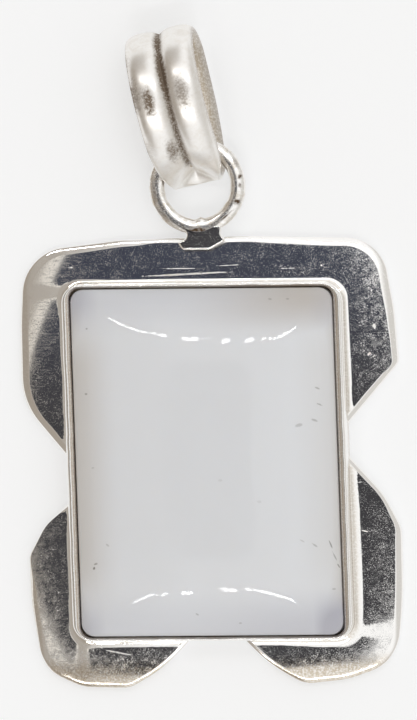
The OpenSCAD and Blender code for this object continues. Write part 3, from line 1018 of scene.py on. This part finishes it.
class PENDANT_OT_ring(Operator):
    """Build the loop ring and its foot on the plate's upper edge"""

    bl_idname = "pendant.ring"
    bl_label = "Loop Ring"

    def execute(self, context):
        scene = context.scene
        ring = skinned("loop_ring", ring_rows(scene.pendant_ring), closed=True, sharp=60)
        finish, nodes, group = silver(
            "Ring silver", scene.pendant_silver, polish=0.16, flecks=0.7, scratches=0.3,
            mottling=0.6)
        add_marks(nodes, group, RING_MARKS, 0.9)
        place(ring, "setting", "setting_silver", finish)

        foot = skinned("ring_foot", foot_rows(scene.pendant_ring), sharp=50)
        finish = silver(
            "Foot silver", scene.pendant_silver, polish=0.05, flecks=0.7, scratches=0.6,
            mottling=0.0, waves=0.05)[0]
        place(foot, "setting", "setting_silver", finish)
        return {"FINISHED"}


# The bail

# Sections round the bail, from its back over the lower end, up the front and over the top. Columns:
# crest along the bail and up, inner face along and up, half width, how far the ends' square shape
# takes over from the ribs, and depth of the V cut in the front's end. Lengths along the bail are
# shares of its length, heights of its depth, widths of half its width.
BAIL_SECTIONS = (
    (0.148, 0.000, 0.148, 0.135, 0.920, 0.0, 0),
    (0.055, 0.000, 0.111, 0.135, 0.850, 0.6, 0),
    (0.010, 0.035, 0.096, 0.137, 0.790, 1.0, 0),
    (0.005, 0.100, 0.090, 0.140, 0.765, 1.0, 0),
    (0.000, 0.175, 0.088, 0.170, 0.750, 1.0, 0.100),
    (0.004, 0.280, 0.089, 0.256, 0.765, 1.0, 0.110),
    (0.028, 0.405, 0.103, 0.352, 0.835, 0.6, 0.095),
    (0.092, 0.556, 0.162, 0.470, 0.940, 0.0, 0.035),
    (0.222, 0.770, 0.273, 0.635, 1.000, 0.0, 0),
    (0.397, 0.937, 0.425, 0.781, 1.000, 0.0, 0),
    (0.619, 1.000, 0.619, 0.841, 1.000, 0.0, 0),
    (0.804, 0.930, 0.767, 0.783, 1.000, 0.0, 0),
    (0.934, 0.754, 0.860, 0.660, 1.000, 0.0, 0),
    (1.000, 0.492, 0.906, 0.476, 1.000, 0.0, 0),
    (0.966, 0.214, 0.883, 0.286, 1.000, 0.0, 0),
    (0.860, 0.040, 0.818, 0.178, 1.000, 0.0, 0),
    (0.702, 0.000, 0.702, 0.138, 1.000, 0.0, 0),
    (0.425, 0.000, 0.425, 0.135, 1.000, 0.0, 0),
)
# Rows of the mesh from one section to the next
BAIL_STEPS = 7
# Places across the band: to its edge on the outer side and back on the inner side
RIB_PLACES = 44
INNER_PLACES = 10
# Thickness of the band at its edges, as a share of that at the ribs' crests
EDGE_SHARE = 0.46
# Power of the ribs' round form, and height of the groove's floor as a share of theirs
RIB_POWER = 2.5
GROOVE_FLOOR = 0.38
# Tarnish in the groove and inside the bail, and painted dark reflection along the band's edges
GROOVE_TARNISH = 0.8
EDGE_PAINTED_REFLECTION = 0.4
INNER_TARNISH = 0.2
# Where the V-shaped end has its two tips, as a share of half its width
TIP_PLACE = 0.86
# How far the inner face bulges at the end, as a share of the bail's length
END_BULGE = 0.028
# Colour of the tarnish in the bail's groove, and of the painted dark reflection on its edges and
# front
BAIL_TARNISH_AND_PAINTED_REFLECTION = (0.24, 0.19, 0.145)
# Stains on the front of the bail, partly painted dark reflection in the middle of the ribs: x, y,
# length, width, angle in degrees, strength
BAIL_STAINS_AND_PAINTED_REFLECTION = (
    (-3.1, 24.3, 2.4, 1.0, 101.7, 1.0), (-4.2, 24.6, 3.0, 1.5, 101.7, 0.6),
    (-4.9, 26.9, 1.8, 1.2, 101.7, 0.35), (-0.85, 24.9, 2.8, 1.2, 101.7, 0.6),
    (-2.2, 26.2, 4.0, 0.9, 101.7, 0.6), (-1.7, 21.0, 1.8, 1.1, 101.7, 0.7),
    (-3.4, 21.0, 1.8, 1.4, 101.7, 0.2), (-2.6, 28.2, 1.4, 0.8, 101.7, 0.35),
)


def rib(place):
    """Height of the two half-round ribs at a place across the band, from 0 to 1."""
    rounded = math.sqrt(max(0, 1 - abs((abs(place) - 0.5) / 0.5) ** RIB_POWER))
    return max(rounded, GROOVE_FLOOR * (1 - smooth(0.04, 0.3, abs(place))))


def bail_section(step):
    """Points along, up and across the bail in one section.

    Each point also has its tarnish, which on the band's edges is painted dark reflection, and 1 on
    the inner face or 0 on the outer one.
    """
    crest_along, crest_up, in_along, in_up, half, square, cut = table_row(
        BAIL_SECTIONS, step, True)
    square, cut = min(1, max(0, square)), max(0, cut)
    points = []
    for k in range(RIB_PLACES + 1):
        crowded = math.sin(math.pi * (k / RIB_PLACES - 0.5))
        place = 0.5 * crowded + 0.5 * (2 * k / RIB_PLACES - 1)
        ribbed = EDGE_SHARE + (1 - EDGE_SHARE) * rib(place)
        end = 1 if abs(place) < TIP_PLACE else 1 - 0.4 * (abs(place) - TIP_PLACE) / (1 - TIP_PLACE)
        reach = ribbed + (end - ribbed) * square
        notch = cut * max(0, 1 - abs(place) / TIP_PLACE)
        groove = GROOVE_TARNISH * (1 - smooth(0.02, 0.17, abs(place))) * (1 - square)
        # Painted dark reflection along both edges of the band
        edge = EDGE_PAINTED_REFLECTION * smooth(0.93, 1.0, abs(place))
        points.append((
            in_along + (crest_along - in_along) * reach + notch,
            in_up + (crest_up - in_up) * reach, place * half, max(groove, edge), 0.0))
    for k in range(1, INNER_PLACES):
        place = 1 - 2 * k / INNER_PLACES
        points.append((
            in_along + END_BULGE * square * (1 - place ** 2), in_up, place * half,
            INNER_TARNISH, 1.0))
    return points


def bail_rows(sizes):
    """Sections round the bail, with the tarnish, painted reflection on the edges, and the patina of
    every point.
    """
    turn = Matrix.Rotation(sizes.turn, 2)
    rows, dark, aged = [], [], []
    for step in range(len(BAIL_SECTIONS) * BAIL_STEPS):
        row = []
        for along, up, across, tarnish, inner in bail_section(step / BAIL_STEPS):
            z = max(0, up) * sizes.depth / MM
            side = across * sizes.width / MM / 2 - z * math.tan(sizes.lean)
            flat = turn @ Vector((side, along * sizes.length / MM))
            row.append((sizes.across / MM + flat.x, sizes.along / MM + flat.y, z))
            dark.append(tarnish)
            aged.append(0.9 * inner + 0.1)
        rows.append(row)
    return rows, {"tarnish": dark, "patina": aged}


class PENDANT_OT_bail(Operator):
    """Build the double-rib bail that hangs in the loop ring"""

    bl_idname = "pendant.bail"
    bl_label = "Bail"

    def execute(self, context):
        scene = context.scene
        rows, marks = bail_rows(scene.pendant_bail)
        piece = skinned("bail_band", rows, closed=True, marks=marks, sharp=50)
        finish, nodes, group = silver(
            "Bail silver", scene.pendant_silver, polish=0.29, flecks=0.6, scratches=0.1,
            mottling=0.17, grain=78, waves=1.8, tarnish=BAIL_TARNISH_AND_PAINTED_REFLECTION)
        # Stains and painted dark reflection on the front of the bail
        add_marks(nodes, group, BAIL_STAINS_AND_PAINTED_REFLECTION, 0.9)
        place(piece, "bail", "bail_silver", finish)
        return {"FINISHED"}


# The stage

# The lamps on a ceiling over the upper and the lower end: x, y, length, width, turn in degrees
LAMPS = (
    (-202, 261, 69, 18, -10), (-152, 249, 34, 20, -20), (-121, 240, 16, 18, 10),
    (-91, 240, 22, 16, -48), (-75, 230, 16, 16, -18), (-47, 213, 6, 24, 0),
    (-28.5, 194, 10, 22, 0), (18.5, 182, 22, 24, -8), (61.7, 175, 15, 17, -8),
    (88, 172.5, 8, 17, 0), (106, 170, 10, 17, 0), (136, 173, 39, 14, 12), (173, 181, 35, 11, 12),
    (-176, -288, 34, 22, 12), (-143, -271, 41, 22, 38), (-115, -271, 6, 22, 0),
    (-94, -273, 13, 34, 0), (-60.4, -279, 9.5, 34, 0), (-42.5, -255.5, 10, 28, 0),
    (-17, -243.5, 10, 27, 0), (-0.5, -237.5, 8.5, 25, 0), (23, -244.5, 36, 26, -23),
    (58, -256, 38, 23, -12), (96, -259, 38, 18, 4),
)
# Height of that ceiling, and how strongly the lamps glow for their size
CEILING = 550
LAMP_GLOW = 18.0
# The dark opening overhead: axis, direction of its middle and half its width, in degrees
OPENING = (("X", -3.75, 8.3), ("Y", 0.15, 10.9))
# The place on the pendant in the middle of the picture
TARGET = (0.292, 6.876, 3.0)
# Millimetres of the pendant for each pixel of the photograph, and the photograph's height in pixels
PIXEL = 0.0674
PHOTO_HEIGHT = 720
# Width of the camera's sensor
SENSOR = 36.0
# Half the width of the table in metres
TABLE_REACH = 3.0


def aimed(direction, up):
    """The turn that points an object's -Z along a direction, with its +Y towards up."""
    z = -Vector(direction).normalized()
    x = Vector(up).cross(z).normalized()
    return Matrix((x, z.cross(x), z)).transposed().to_euler()


def add_camera(look):
    """The camera at the photograph's viewing angle."""
    data = bpy.data.cameras.new("Camera")
    camera = add_object("Camera", data)
    away = Vector((math.sin(look.tilt), 0, math.cos(look.tilt)))
    camera.location = Vector(TARGET) * MM + away * look.distance
    up = Vector((math.sin(look.roll), math.cos(look.roll), 0))
    camera.rotation_euler = aimed(-away, up)
    data.sensor_width = SENSOR
    data.lens = SENSOR * look.distance / MM / (PIXEL * PHOTO_HEIGHT)
    data.clip_start = 0.01
    data.clip_end = 20
    bpy.context.scene.camera = camera


def add_lamps():
    """Two rows of small soft lamps over the pendant's ends."""
    for x, y, long, wide, turn in LAMPS:
        data = bpy.data.lights.new("Lamp", "AREA")
        data.shape = "RECTANGLE"
        data.size = long * MM
        data.size_y = wide * MM
        data.energy = LAMP_GLOW * math.pi * data.size * data.size_y
        lamp = add_object("Lamp", data)
        lamp.location = Vector((x, y, CEILING)) * MM
        lamp.rotation_euler = (0, 0, math.radians(turn))


def add_tent(look):
    """A white tent of light with a dark oval opening overhead and greyer sides."""
    world = bpy.data.worlds.new("Tent")
    world.use_nodes = True
    nodes = Nodes(world.node_tree)
    world.node_tree.nodes.clear()
    way = nodes.add("ShaderNodeTexCoord").outputs["Generated"]
    parts = nodes.add("ShaderNodeSeparateXYZ", {0: way}).outputs
    height = nodes.math("MAXIMUM", parts["Z"], 0.01)
    offsets = []
    for axis, middle, half in OPENING:
        slope = nodes.math("DIVIDE", parts[axis], height)
        offset = nodes.math("SUBTRACT", slope, math.tan(math.radians(middle)))
        offsets.append(nodes.math("DIVIDE", offset, math.tan(math.radians(half))))
    reach = nodes.vector("LENGTH", nodes.add(
        "ShaderNodeCombineXYZ", {"X": offsets[0], "Y": offsets[1]}).outputs[0])
    opening = nodes.ramp(reach, 1.016, 1.0)
    # The tent's sides, by the parts of a direction, which run from -1 to 1
    upper = nodes.ramp(parts["Z"], 0.1, 0.4)
    right = nodes.ramp(parts["X"], 0.3, 0.6)
    near = nodes.times(nodes.ramp(parts["X"], -0.08, -0.2), upper)
    left = nodes.times(nodes.ramp(parts["X"], -0.42, -0.6), upper)
    light = nodes.mix(right, look.sky, look.right)
    beside = nodes.mix(nodes.ramp(reach, 1.045, 1.075), look.rim, look.beside)
    light = nodes.mix(near, light, beside)
    light = nodes.mix(left, light, look.left)
    dark = nodes.mix(nodes.ramp(parts["Y"], 0.02, 0.14), look.dark, look.dusk)
    light = nodes.mix(opening, light, dark)
    background = nodes.add("ShaderNodeBackground", {"Color": light, "Strength": 1.0})
    nodes.add("ShaderNodeOutputWorld", {"Surface": background.outputs[0]})
    bpy.context.scene.world = world


def add_table(look):
    """A pale, evenly backlit table."""
    mesh = bpy.data.meshes.new("table")
    mesh.from_pydata(
        [(x * TABLE_REACH, y * TABLE_REACH, 0) for x, y in ((-1, -1), (1, -1), (1, 1), (-1, 1))],
        [], [(0, 1, 2, 3)])
    table = add_object("table", mesh)
    material, nodes, shader = new_material("Pale table")
    grain = nodes.noise(nodes.millimetres(), 0.02, 2)
    darker = [value * 0.985 for value in look.table]
    nodes.give(shader, {
        "Base Color": nodes.mix(grain, look.table, darker), "Roughness": 0.9,
        "Specular IOR Level": 0.1, "Emission Color": (*look.glow, 1), "Emission Strength": 1.0})
    mesh.materials.append(material)


class PENDANT_OT_stage(Operator):
    """Build the table, the tent of light, the lamps and the camera"""

    bl_idname = "pendant.stage"
    bl_label = "Stage"

    def execute(self, context):
        look = context.scene.pendant_stage
        add_table(look)
        add_camera(look)
        add_lamps()
        add_tent(look)
        context.scene.view_settings.view_transform = "Standard"
        return {"FINISHED"}


PIECES = (
    PENDANT_OT_plate, PENDANT_OT_cup, PENDANT_OT_stone, PENDANT_OT_ring, PENDANT_OT_bail,
    PENDANT_OT_stage,
)


class PENDANT_PT_panel(Panel):
    """The pendant's pieces and the stage"""

    bl_label = "Pendant"
    bl_idname = "PENDANT_PT_panel"
    bl_space_type = "VIEW_3D"
    bl_region_type = "UI"
    bl_category = "Pendant"

    def draw(self, context):
        for piece in PIECES:
            self.layout.operator(piece.bl_idname)


CLASSES = (*SETTINGS.values(), *PIECES, PENDANT_PT_panel)


def register():
    """Registers the classes and the scene's settings."""
    for cls in CLASSES:
        bpy.utils.register_class(cls)
    for name, cls in SETTINGS.items():
        setattr(bpy.types.Scene, name, PointerProperty(type=cls))


def unregister():
    """Takes away what register added."""
    for name in SETTINGS:
        delattr(bpy.types.Scene, name)
    for cls in reversed(CLASSES):
        bpy.utils.unregister_class(cls)


def main():
    """Builds the pendant on its stage."""
    register()
    for piece in PIECES:
        group, name = piece.bl_idname.split(".")
        getattr(getattr(bpy.ops, group), name)()


if __name__ == "__main__":
    main()
